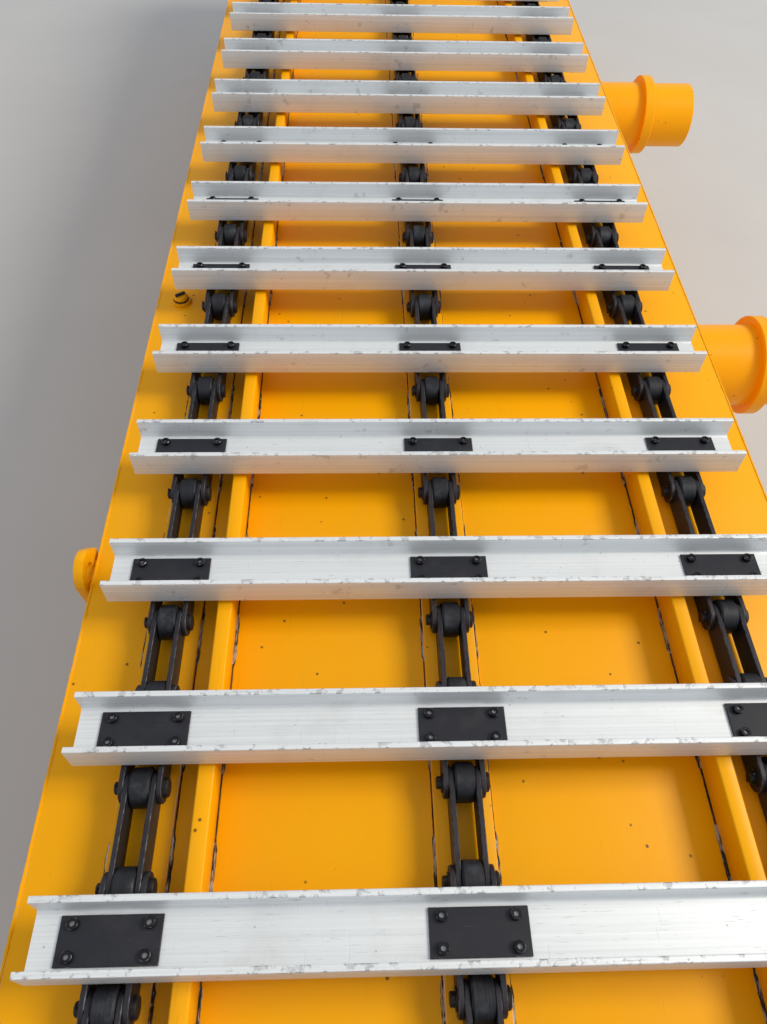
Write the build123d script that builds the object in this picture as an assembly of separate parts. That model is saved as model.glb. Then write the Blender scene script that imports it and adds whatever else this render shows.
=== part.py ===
# One tracked pontoon of an amphibious excavator: a sealed steel hull with three roller chains
# running round it, which carry aluminium channel cleats. Millimetres, +Z up.
# X runs across the pontoon, with its cross tubes on the +X side. Y runs along it, with the drive
# sprockets at -Y and the idlers at +Y. The shapes are drawn about the hull's middle, and the origin
# of the finished part is on the floor in the middle of its overall width.
from build123d import *
from math import atan2, cos, degrees, pi, radians, sin, sqrt, tan
import os

# Roller chain, the same in all three strands
CHAIN_PITCH = 190
ROLLER_DIA = 80
ROLLER_WIDTH = 42
ROLLER_SIDES = 8
LINK_PLATE_HEIGHT = 80
LINK_PLATE_STACK = 21
STRAND_INSET = 135
LINKS_PER_CLEAT = 2
# The track's middle stands a little off the hull's, towards the outer side.
TRACK_OFFSET = -16

# Cleats: 5 inch drawn channel with its flanges outward
CLEAT_COUNT = 54
CLEAT_LENGTH = 1550
CLEAT_WIDTH = 127
CLEAT_DEPTH = 70
CLEAT_WEB = 5
CLEAT_FLANGE = 10

# Hull
HULL_WIDTH = 1744
HULL_HEIGHT = 1500
RAKE_ANGLE = 35
CHAIN_BEND_RADIUS = 1000
HULL_BEND_EASE = 450
SIDE_PLATE = 16
DECK_PLATE = 8
WEAR_BAR_WIDTH = 120
WEAR_BAR_THICK = 12
RAIL_FROM_CHAIN = 108
RAIL_WIDTH = 34
RAIL_HEIGHT = 80

# Sprockets, idlers and their shafts
SPROCKET_TEETH = 14
SPROCKET_THICK = 38
TOOTH_RISE = 15
SEAT_CLEARANCE = 1
IDLER_WIDTH = 84
CLAMP_HUB_WIDTH = 220
CLAMP_HUB_LENGTH = 50
CLAMP_HUB_SIDES = 8
SHAFT_DIA = 110
RUNNING_GAP = 0.3
BULKHEAD_GAP = 50
BEARING_DIA = 220
BEARING_LENGTH = 95
BEARING_FLANGE_WIDTH = 320
BEARING_FLANGE_THICK = 28
GEARBOX_DIA = 400
GEARBOX_LENGTH = 210
MOTOR_WIDTH = 200
MOTOR_LENGTH = 240
MOTOR_SIDES = 8
PORT_BLOCK = 90
SLOT_LENGTH = 260
SLOT_HEIGHT = 130
SLIDE_LENGTH = 180
SLIDE_WIDTH = 70
TENSIONER_DIA = 90
TENSIONER_LENGTH = 300
TENSIONER_ROD_DIA = 45
TENSIONER_ROD_LENGTH = 90
TENSIONER_CLEARANCE = 2
TENSIONER_BRACKET = 30
TENSIONER_BRACKET_HEIGHT = 150
CROSS_TIE_WIDTH = 100
CROSS_TIE_LIFT = 130
CROSS_TIE_INSET = 140

# Cross tubes towards the machine's middle, lifting lugs and inspection covers
TUBE_DIA = 356
TUBE_SPACING = 2322
TUBE_DROP = 751
COLLAR_DIA = 432
COLLAR_WIDTH = 60
COLLAR_REACH = 630
SPIGOT_DIA = 350
SPIGOT_LENGTH = 250
PAD_WIDTH = 560
PAD_THICK = 16
PAD_SIDES = 8
LUG_SPACING = 5534
LUG_RADIUS = 80
LUG_THICK = 30
LUG_HOLE_DIA = 45
LUG_HOLE_HEIGHT = 26
LUG_TAIL = 150
LUG_TAIL_WIDTH = 70
COVER_SPACING = 2400
COVER_COUNT = 3
COVER_LENGTH = 460
COVER_HEIGHT = 360
COVER_THICK = 12

# Levels and the chain's path, worked out from the sizes above
cleat_seat = LINK_PLATE_HEIGHT / 2
skin_depth = WEAR_BAR_THICK + LINK_PLATE_HEIGHT / 2
pitch_bottom = cleat_seat + CLEAT_DEPTH
hull_bottom = pitch_bottom + skin_depth
deck_top = hull_bottom + HULL_HEIGHT
pitch_top = deck_top + skin_depth
side_face = HULL_WIDTH / 2
# The outer chains stand in from the cleats' ends, and the guide rails in from those chains.
strand_spacing = CLEAT_LENGTH / 2 - STRAND_INSET
rail_offset = strand_spacing - RAIL_FROM_CHAIN
rake = radians(RAKE_ANGLE)
wheel_radius = SPROCKET_TEETH * CHAIN_PITCH / (2 * pi)
wheel_z = pitch_top - wheel_radius
end_arc = wheel_radius * (pi - rake)
bend_arc = CHAIN_BEND_RADIUS * rake
rake_drop = wheel_z - wheel_radius * cos(rake) - pitch_bottom
rake_run = rake_drop / sin(rake) - CHAIN_BEND_RADIUS * tan(rake / 2)
rake_reach = rake_drop / tan(rake) + CHAIN_BEND_RADIUS * tan(rake / 2) - wheel_radius * sin(rake)
loop_length = CLEAT_COUNT * LINKS_PER_CLEAT * CHAIN_PITCH
# The chain closes on a whole number of cleats, which sets how far apart the wheels stand.
wheel_y = (loop_length / 2 - end_arc - rake_run - bend_arc + rake_reach) / 2
bottom_half = wheel_y - rake_reach
# The hull's knee is gentler than the chain's, so that the straight links stay clear of it.
hull_bend = CHAIN_BEND_RADIUS + HULL_BEND_EASE
hull_flat = bottom_half - (HULL_BEND_EASE + skin_depth) * tan(rake / 2)
# The tooth gaps are half octagons with straight flanks, so that the rollers lie on three flats.
seat_depth = ROLLER_DIA / 2 * cos(pi / ROLLER_SIDES) + SEAT_CLEARANCE
seat_half = seat_depth * tan(pi / ROLLER_SIDES)
mouth_half = seat_half + (seat_depth + TOOTH_RISE) * tan(2 * pi / ROLLER_SIDES)
tip_radius = sqrt((wheel_radius + TOOTH_RISE) ** 2 + mouth_half**2)
tooth_reach = sqrt(tip_radius**2 - (wheel_radius - LINK_PLATE_HEIGHT / 2) ** 2)
bulkhead_y = wheel_y - tip_radius - BULKHEAD_GAP
# The tubes reach further in than the bearing reaches out, so the overall middle is off the hull's.
tube_reach = COLLAR_REACH + COLLAR_WIDTH + SPIGOT_LENGTH
overall_middle = (tube_reach - BEARING_LENGTH) / 2

# The pitch line as straight and curved runs, walked from the middle of the deck towards +Y
path_runs = (
    # length, bend radius
    (wheel_y, None),
    (end_arc, wheel_radius),
    (rake_run, None),
    (bend_arc, CHAIN_BEND_RADIUS),
    (2 * bottom_half, None),
    (bend_arc, CHAIN_BEND_RADIUS),
    (rake_run, None),
    (end_arc, wheel_radius),
    (wheel_y, None),
)
strands = (
    # name, x
    ("left", TRACK_OFFSET - strand_spacing),
    ("centre", TRACK_OFFSET),
    ("right", TRACK_OFFSET + strand_spacing),
)
sides = (
    # name, sign along X
    ("outer", -1),
    ("inner", 1),
)
ends = (-1, 1)


def pitch_point(distance):
    # Position and heading on the pitch line. Heading 0 is +Y and grows as the chain turns down.
    y, z, heading = 0.0, pitch_top, 0.0
    left = distance % loop_length
    for length, radius in path_runs:
        step = min(left, length)
        if radius:
            turn = step / radius
            y += radius * (sin(heading + turn) - sin(heading))
            z += radius * (cos(heading + turn) - cos(heading))
            heading += turn
        else:
            y += step * cos(heading)
            z -= step * sin(heading)
        left -= step
        if left <= 0:
            break
    return y, z, heading


def link_frame(distance):
    # Frame in the middle of the link whose two pins lie half a pitch either side.
    ya, za, heading = pitch_point(distance - CHAIN_PITCH / 2)
    yb, zb, heading = pitch_point(distance + CHAIN_PITCH / 2)
    tilt = degrees(atan2(zb - za, yb - ya))
    return Location((0, (ya + yb) / 2, (za + zb) / 2), (tilt, 0, 0))


def prism(face, x_from, x_to):
    # A face drawn in the YZ plane, made into a plate between two places across the pontoon.
    return Pos(x_from, 0, 0) * extrude(Plane.YZ * face, x_to - x_from)


def skin_face(standoff):
    # Side view of the hull, grown outward by the standoff.
    depth = skin_depth - standoff
    radius = wheel_radius - depth
    bend = hull_bend + standoff
    top = pitch_top - depth
    bottom = pitch_bottom + depth
    foot_y = wheel_y + radius * sin(rake)
    foot_z = wheel_z - radius * cos(rake)
    knee_y = foot_y - (foot_z - bottom) / tan(rake)
    flat_y = knee_y - bend * tan(rake / 2)
    nose = (wheel_y + radius * cos(rake / 2), wheel_z + radius * sin(rake / 2))
    knee_top = (knee_y + bend * tan(rake / 2) * cos(rake), bottom + bend * tan(rake / 2) * sin(rake))
    knee_mid = (flat_y + bend * sin(rake / 2), bottom + bend * (1 - cos(rake / 2)))
    half = [
        ThreePointArc((wheel_y, top), nose, (foot_y, foot_z)),
        Line((foot_y, foot_z), knee_top),
        ThreePointArc(knee_top, knee_mid, (flat_y, bottom)),
        Line((flat_y, bottom), (0, bottom)),
        Line((0, top), (wheel_y, top)),
    ]
    edges = Curve() + half + [edge.mirror(Plane.YZ) for edge in half]
    return make_face(edges)


def between_bulkheads():
    return Pos(0, (deck_top + hull_bottom) / 2) * Rectangle(2 * bulkhead_y, 2 * HULL_HEIGHT)


def disc(diameter, x_from, x_to, y, z, bore=0):
    face = Pos(y, z) * Circle(diameter / 2)
    if bore:
        face -= Pos(y, z) * Circle(bore / 2)
    return prism(face, x_from, x_to)


def hull_core():
    face = skin_face(0) & between_bulkheads()
    face -= Pos(0, deck_top) * Rectangle(2 * bulkhead_y, 2 * DECK_PLATE)
    return prism(face, SIDE_PLATE - side_face, side_face - SIDE_PLATE)


def deck_plate():
    return Pos(0, 0, deck_top - DECK_PLATE / 2) * Box(HULL_WIDTH, 2 * bulkhead_y, DECK_PLATE)


def side_plate(sign):
    face = skin_face(0)
    face -= Pos(0, deck_top) * Rectangle(2 * bulkhead_y, 2 * DECK_PLATE)
    face -= Pos(-wheel_y, wheel_z) * Circle(SHAFT_DIA / 2 + RUNNING_GAP)
    face -= Pos(wheel_y, wheel_z) * Rectangle(SLOT_LENGTH, SLOT_HEIGHT)
    inside = sign * (side_face - SIDE_PLATE)
    outside = sign * side_face
    return prism(face, min(inside, outside), max(inside, outside))


def wear_bar(x):
    # A bar that follows the hull's skin: one run on the deck, one round the rakes and bottom.
    face = (skin_face(WEAR_BAR_THICK) - skin_face(0)) & between_bulkheads()
    return prism(face, x - WEAR_BAR_WIDTH / 2, x + WEAR_BAR_WIDTH / 2)


def rail(x):
    # A guide bar on edge beside the chain, on the deck and again under the flat of the bottom.
    runs = []
    for length, z in (
        # length, middle height
        (2 * bulkhead_y, deck_top + RAIL_HEIGHT / 2),
        (2 * hull_flat, hull_bottom - RAIL_HEIGHT / 2),
    ):
        runs.append(Pos(x, 0, z) * Box(RAIL_WIDTH, length, RAIL_HEIGHT))
    return Compound(runs)


def near_sprocket(distance):
    reach = tooth_reach + (CHAIN_PITCH + ROLLER_DIA) / 2
    return loop_length - wheel_y - end_arc - reach < distance < loop_length - wheel_y + reach


def chain_strand(x):
    # Two loops of link plates with the rollers between them. Away from the sprocket, the two
    # rollers under a cleat and the link between them are one block.
    pins = [pitch_point((i + 0.5) * CHAIN_PITCH) for i in range(CLEAT_COUNT * LINKS_PER_CLEAT)]
    corners = []
    for before, pin, after in zip(pins[-1:] + pins[:-1], pins, pins[1:] + pins[:1]):
        if abs(after[2] - pin[2]) + abs(pin[2] - before[2]) > 1e-6:
            corners.append((pin[0], pin[1]))
    line = make_face(Polyline(*corners, close=True))
    plate = offset(line, LINK_PLATE_HEIGHT / 2, kind=Kind.INTERSECTION)
    plate -= offset(line, -LINK_PLATE_HEIGHT / 2, kind=Kind.INTERSECTION)
    gap = ROLLER_WIDTH / 2
    strand = prism(plate, gap, gap + LINK_PLATE_STACK)
    strand += prism(plate, -gap - LINK_PLATE_STACK, -gap)
    flat_down = 180 / ROLLER_SIDES
    roller = prism(RegularPolygon(ROLLER_DIA / 2, ROLLER_SIDES, rotation=flat_down), -gap, gap)
    pieces = []
    for k in range(CLEAT_COUNT):
        middle = (k + 0.5) * LINKS_PER_CLEAT * CHAIN_PITCH
        if near_sprocket(middle):
            for pin in (middle - CHAIN_PITCH / 2, middle + CHAIN_PITCH / 2):
                y, z, heading = pitch_point(pin)
                pieces.append(Location((0, y, z), (-degrees(heading), 0, 0)) * roller)
        else:
            turn = pitch_point(middle + 1.5 * CHAIN_PITCH)[2] - pitch_point(middle - 1.5 * CHAIN_PITCH)[2]
            length = CHAIN_PITCH if abs(turn) > 1e-6 else CHAIN_PITCH + ROLLER_DIA
            pieces.append(link_frame(middle) * Box(ROLLER_WIDTH, length, LINK_PLATE_HEIGHT))
    strand += pieces
    return Pos(x, 0, 0) * strand


def cleats():
    half = CLEAT_WIDTH / 2
    inner = half - CLEAT_FLANGE
    tip = cleat_seat + CLEAT_DEPTH
    floor = cleat_seat + CLEAT_WEB
    profile = make_face(
        Polyline(
            (-half, cleat_seat),
            (half, cleat_seat),
            (half, tip),
            (inner, tip),
            (inner, floor),
            (-inner, floor),
            (-inner, tip),
            (-half, tip),
            close=True,
        )
    )
    cleat = prism(profile, TRACK_OFFSET - CLEAT_LENGTH / 2, TRACK_OFFSET + CLEAT_LENGTH / 2)
    spacing = LINKS_PER_CLEAT * CHAIN_PITCH
    return Compound([link_frame((k + 0.5) * spacing) * cleat for k in range(CLEAT_COUNT)])


def clamp_hub(x_from):
    # A many-sided split hub that clamps the wheel to its shaft, on the wheel's +X side.
    return prism(RegularPolygon(CLAMP_HUB_WIDTH / 2, CLAMP_HUB_SIDES), x_from, x_from + CLAMP_HUB_LENGTH)


def sprocket(x):
    # The tooth gaps stand at the pins' real places, so the teeth mesh with the rollers.
    first_pin = CLEAT_COUNT * LINKS_PER_CLEAT - 1
    while (first_pin + 0.5) * CHAIN_PITCH > loop_length - wheel_y:
        first_pin -= 1
    start = pitch_point((first_pin + 0.5) * CHAIN_PITCH)[2]
    corners = []
    for tooth in range(SPROCKET_TEETH):
        angle = start + tooth * 2 * pi / SPROCKET_TEETH
        for across, rise in (
            # along the pitch circle, above it
            (-mouth_half, TOOTH_RISE),
            (-seat_half, -seat_depth),
            (seat_half, -seat_depth),
            (mouth_half, TOOTH_RISE),
        ):
            out = wheel_radius + rise
            corners.append((across * cos(angle) + out * sin(angle), out * cos(angle) - across * sin(angle)))
    wheel = prism(make_face(Polyline(*corners, close=True)), -SPROCKET_THICK / 2, SPROCKET_THICK / 2)
    wheel += clamp_hub(SPROCKET_THICK / 2)
    wheel -= disc(SHAFT_DIA + 2 * RUNNING_GAP, -IDLER_WIDTH, 2 * IDLER_WIDTH, 0, 0)
    return Pos(x, -wheel_y, wheel_z) * wheel


def idler(x):
    # A smooth wheel, on which the link plates ride.
    tread = wheel_radius * cos(pi / SPROCKET_TEETH) - LINK_PLATE_HEIGHT / 2 - RUNNING_GAP
    wheel = disc(2 * tread, -IDLER_WIDTH / 2, IDLER_WIDTH / 2, 0, 0)
    wheel += clamp_hub(IDLER_WIDTH / 2)
    wheel -= disc(SHAFT_DIA + 2 * RUNNING_GAP, -IDLER_WIDTH, 2 * IDLER_WIDTH, 0, 0)
    return Pos(x, wheel_y, wheel_z) * wheel


def drive_shaft():
    return disc(SHAFT_DIA, -side_face, side_face, -wheel_y, wheel_z)


def idler_shaft():
    reach = side_face + SLIDE_WIDTH
    return disc(SHAFT_DIA, -reach, reach, wheel_y, wheel_z)


def outer_bearing():
    # A square flange with a round housing, which closes over the shaft's end.
    housing = disc(BEARING_DIA, -side_face - BEARING_LENGTH, -side_face, -wheel_y, wheel_z)
    flange = Box(BEARING_FLANGE_THICK, BEARING_FLANGE_WIDTH, BEARING_FLANGE_WIDTH)
    return housing + Pos(-side_face - BEARING_FLANGE_THICK / 2, -wheel_y, wheel_z) * flange


def gearbox():
    return disc(GEARBOX_DIA, side_face, side_face + GEARBOX_LENGTH, -wheel_y, wheel_z)


def drive_motor():
    start = side_face + GEARBOX_LENGTH
    outline = RegularPolygon(MOTOR_WIDTH / 2, MOTOR_SIDES, rotation=180 / MOTOR_SIDES)
    body = prism(outline, start, start + MOTOR_LENGTH)
    ports = Box(PORT_BLOCK, PORT_BLOCK, PORT_BLOCK)
    body += Pos(start + MOTOR_LENGTH - PORT_BLOCK, 0, MOTOR_WIDTH / 2) * ports
    return Pos(0, -wheel_y, wheel_z) * body


def slide_block(sign):
    block = Box(SLIDE_WIDTH + SIDE_PLATE, SLIDE_LENGTH, SLOT_HEIGHT - 2 * RUNNING_GAP)
    block = Pos(sign * (side_face + (SLIDE_WIDTH - SIDE_PLATE) / 2), wheel_y, wheel_z) * block
    reach = side_face + SLIDE_WIDTH + 1
    return block - disc(SHAFT_DIA + 2 * RUNNING_GAP, -reach, reach, wheel_y, wheel_z)


def tensioner(sign):
    # A grease cylinder between a bracket on the hull's side and the idler's slide block.
    x = sign * (side_face + TENSIONER_DIA / 2 + TENSIONER_CLEARANCE)
    body_end = -SLIDE_LENGTH / 2 - TENSIONER_ROD_LENGTH
    bracket_y = body_end - TENSIONER_LENGTH
    rod = Pos(0, body_end + TENSIONER_ROD_LENGTH / 2, 0) * Rot(90, 0, 0) * Cylinder(
        TENSIONER_ROD_DIA / 2, TENSIONER_ROD_LENGTH
    )
    body = Pos(0, body_end - TENSIONER_LENGTH / 2, 0) * Rot(90, 0, 0) * Cylinder(
        TENSIONER_DIA / 2, TENSIONER_LENGTH
    )
    foot_width = TENSIONER_DIA + 2 * TENSIONER_CLEARANCE
    foot = Pos(0, bracket_y - TENSIONER_BRACKET / 2, 0) * Box(
        foot_width, TENSIONER_BRACKET, TENSIONER_BRACKET_HEIGHT
    )
    return Pos(x, wheel_y, wheel_z) * (rod + body + foot)


def cross_ties():
    # Box beams between the side plates, just above the line of the rake.
    tie = Box(2 * (side_face - SIDE_PLATE), CROSS_TIE_WIDTH, CROSS_TIE_WIDTH)
    y = bulkhead_y + CROSS_TIE_INSET
    foot_y = wheel_y + (wheel_radius - skin_depth) * sin(rake)
    foot_z = wheel_z - (wheel_radius - skin_depth) * cos(rake)
    z = foot_z - (foot_y - y) * tan(rake) + CROSS_TIE_LIFT
    return Compound([Pos(0, end * y, z) * tie for end in ends])


def at_tubes(shape):
    return Compound([Pos(0, end * TUBE_SPACING / 2, deck_top - TUBE_DROP) * shape for end in ends])


def tube_pads():
    outline = RegularPolygon(PAD_WIDTH / 2, PAD_SIDES, rotation=180 / PAD_SIDES)
    return at_tubes(prism(outline, side_face, side_face + PAD_THICK))


def cross_tubes():
    # Beyond its collar each tube is turned down to the spigot that the centre frame's sleeve takes.
    shoulder = side_face + COLLAR_REACH + COLLAR_WIDTH
    tube = disc(TUBE_DIA, side_face + PAD_THICK, shoulder, 0, 0)
    tube += disc(SPIGOT_DIA, shoulder, side_face + tube_reach, 0, 0)
    return at_tubes(tube)


def tube_collars():
    # Stops for the centre frame's sleeves, on the tubes' full diameter next to the shoulder.
    near = side_face + COLLAR_REACH
    return at_tubes(disc(COLLAR_DIA, near, near + COLLAR_WIDTH, 0, 0, TUBE_DIA + 2 * RUNNING_GAP))


def lifting_lugs():
    # Half-round plates on the hull's outer side that stand above the deck's edge.
    tail = make_face(
        Polyline(
            (-LUG_RADIUS, 0),
            (LUG_RADIUS, 0),
            (LUG_TAIL_WIDTH / 2, -LUG_TAIL),
            (-LUG_TAIL_WIDTH / 2, -LUG_TAIL),
            close=True,
        )
    )
    face = Circle(LUG_RADIUS) + tail - Pos(0, LUG_HOLE_HEIGHT) * Circle(LUG_HOLE_DIA / 2)
    lug = prism(face, -side_face - LUG_THICK, -side_face)
    return Compound([Pos(0, end * LUG_SPACING / 2, deck_top) * lug for end in ends])


def side_covers():
    cover = Pos(-side_face - COVER_THICK / 2, 0, 0) * Box(COVER_THICK, COVER_LENGTH, COVER_HEIGHT)
    z = (deck_top + hull_bottom) / 2
    first = -(COVER_COUNT - 1) / 2 * COVER_SPACING
    return Compound([Pos(0, first + i * COVER_SPACING, z) * cover for i in range(COVER_COUNT)])


pieces = {
    "hull_core": hull_core(),
    "deck_plate": deck_plate(),
    "rail_left": rail(TRACK_OFFSET - rail_offset),
    "rail_right": rail(TRACK_OFFSET + rail_offset),
    "cleats": cleats(),
    "sprockets": Compound([sprocket(x) for name, x in strands]),
    "idlers": Compound([idler(x) for name, x in strands]),
    "drive_shaft": drive_shaft(),
    "idler_shaft": idler_shaft(),
    "outer_bearing": outer_bearing(),
    "gearbox": gearbox(),
    "drive_motor": drive_motor(),
    "slide_blocks": Compound([slide_block(sign) for name, sign in sides]),
    "tensioners": Compound([tensioner(sign) for name, sign in sides]),
    "cross_ties": cross_ties(),
    "tube_pads": tube_pads(),
    "cross_tubes": cross_tubes(),
    "tube_collars": tube_collars(),
    "lifting_lugs": lifting_lugs(),
    "side_covers": side_covers(),
}
for name, x in strands:
    pieces["wear_bar_" + name] = wear_bar(x)
    pieces["chain_" + name] = chain_strand(x)
for name, sign in sides:
    pieces["side_plate_" + name] = side_plate(sign)

os.makedirs("parts", exist_ok=True)
for node, shape in pieces.items():
    export_step(Pos(-overall_middle, 0, 0) * shape, f"parts/{node}.step")
print("wheels at", round(wheel_y, 1), "height", round(wheel_z, 1), "pitch radius", round(wheel_radius, 1))
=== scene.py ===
# Looks of one tracked pontoon of an amphibious excavator, dressed around its CAD frame.
import bmesh
import bpy
import random
from math import acos, atan2, cos, pi, radians, sin, tan
from mathutils import Euler, Matrix, Vector


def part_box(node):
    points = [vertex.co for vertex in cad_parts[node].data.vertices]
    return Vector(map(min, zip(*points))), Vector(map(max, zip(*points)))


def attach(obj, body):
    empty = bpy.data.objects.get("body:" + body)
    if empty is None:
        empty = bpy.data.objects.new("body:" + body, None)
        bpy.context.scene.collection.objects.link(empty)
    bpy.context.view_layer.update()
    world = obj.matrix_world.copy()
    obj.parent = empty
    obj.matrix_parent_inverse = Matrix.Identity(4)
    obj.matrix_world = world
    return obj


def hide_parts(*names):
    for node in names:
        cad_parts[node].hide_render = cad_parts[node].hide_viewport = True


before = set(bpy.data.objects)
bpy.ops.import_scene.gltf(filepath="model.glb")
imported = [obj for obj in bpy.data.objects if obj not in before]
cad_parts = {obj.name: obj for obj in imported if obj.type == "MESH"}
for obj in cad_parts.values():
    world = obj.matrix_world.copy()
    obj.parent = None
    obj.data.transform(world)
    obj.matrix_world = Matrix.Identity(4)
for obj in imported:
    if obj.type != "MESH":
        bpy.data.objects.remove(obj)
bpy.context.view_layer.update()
scene = bpy.context.scene
print("frame loaded")


# Nodes, colours and patterns

def addNode(tree, kind, settings=None, links=None):
    # adds one node; a link is another node's output or a plain value
    node = tree.nodes.new(kind)
    for name, value in (settings or {}).items():
        setattr(node, name, value)
    for name, value in (links or {}).items():
        if isinstance(value, bpy.types.NodeSocket):
            tree.links.new(value, node.inputs[name])
        else:
            node.inputs[name].default_value = value
    return node


def hexColour(code):
    # sRGB hex to the linear values that a shader takes
    values = [int(code[i:i + 2], 16) / 255 for i in (1, 3, 5)]
    return [v / 12.92 if v <= 0.04045 else ((v + 0.055) / 1.055) ** 2.4 for v in values] + [1]


def scaleFor(sizeMm):
    # texture scale that gives a pattern this many millimetres between its features
    return 1000 / sizeMm


def patches(tree, coords, sizeMm, detail, low, high):
    # soft-edged blotches of about this size, 0 outside and 1 inside
    noise = addNode(tree, "ShaderNodeTexNoise", links={
        "Vector": coords, "Scale": scaleFor(sizeMm), "Detail": detail, "Roughness": 0.6})
    return addNode(tree, "ShaderNodeMapRange", links={0: noise.outputs["Fac"], 1: low, 2: high}).outputs[0]


def streaks(tree, coords, sizesMm, turn, low, high):
    # drawn-out marks, as long and as wide as the sizes along X, Y and Z say, turned about Z
    mapping = addNode(tree, "ShaderNodeMapping", links={
        "Vector": coords, "Rotation": (0, 0, radians(turn)), "Scale": [scaleFor(s) for s in sizesMm]})
    return patches(tree, mapping.outputs["Vector"], 1000, 3, low, high)


def specks(tree, coords, spacingMm, speckMm, share):
    # small round spots scattered over a surface, on a share of the places where one could be
    cells = addNode(tree, "ShaderNodeTexVoronoi", links={"Vector": coords, "Scale": scaleFor(spacingMm)})
    size = speckMm / spacingMm
    spot = addNode(tree, "ShaderNodeMapRange", links={0: cells.outputs["Distance"], 1: size, 2: 0.5 * size})
    parts = addNode(tree, "ShaderNodeSeparateColor", links={"Color": cells.outputs["Color"]})
    kept = addNode(tree, "ShaderNodeMath", {"operation": "LESS_THAN"}, {0: parts.outputs[0], 1: share})
    return addNode(tree, "ShaderNodeMath", {"operation": "MULTIPLY"}, {
        0: spot.outputs[0], 1: kept.outputs[0]}).outputs[0]


marks = ("edgeWear", "scraped", "socketFloor")   # faces can carry these


def newMaterial(name, base, gloss, constants, layers):
    # a layer's columns: name, pattern, the pattern's values, share and colour of its coat, height of
    # its relief in mm, below zero where it is sunk, and the relief's strength; a layer named for a
    # mark is kept to the faces that carry it; gloss: a layer, the roughness outside it and inside it
    material = bpy.data.materials.new(name)
    material.use_nodes = True
    tree = material.node_tree
    tree.nodes.clear()
    coords = addNode(tree, "ShaderNodeTexCoord").outputs["Object"]
    colour, normal = hexColour(base), {}
    glossLayer, outside, inside = gloss
    for layer, kind, sizes, coat, *relief in layers:
        pattern = kind(tree, coords, *sizes) if kind else 1.0
        if layer in marks:
            faces = addNode(tree, "ShaderNodeAttribute", {"attribute_name": layer})
            pattern = addNode(tree, "ShaderNodeMath", {"operation": "MULTIPLY"}, {
                0: faces.outputs["Fac"], 1: pattern}).outputs[0]
        if layer == glossLayer:
            rough = addNode(tree, "ShaderNodeMapRange", links={0: pattern, 3: outside, 4: inside})
        if coat:
            share = addNode(tree, "ShaderNodeMath", {"operation": "MULTIPLY"}, {0: pattern, 1: coat[0]})
            mix = addNode(tree, "ShaderNodeMix", {"data_type": "RGBA"}, {
                0: share.outputs[0], 6: colour, 7: hexColour(coat[1])})
            colour = mix.outputs[2]
        if relief:
            heightMm, strength = relief
            bump = addNode(tree, "ShaderNodeBump", {"invert": heightMm < 0}, {
                "Height": pattern, "Distance": abs(heightMm) / 1000, "Strength": strength, **normal})
            normal = {"Normal": bump.outputs["Normal"]}
    shader = addNode(tree, "ShaderNodeBsdfPrincipled", links={
        "Base Color": colour, "Roughness": rough.outputs[0], **normal, **constants})
    addNode(tree, "ShaderNodeOutputMaterial", links={"Surface": shader.outputs["BSDF"]})
    return material


# Materials

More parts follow.
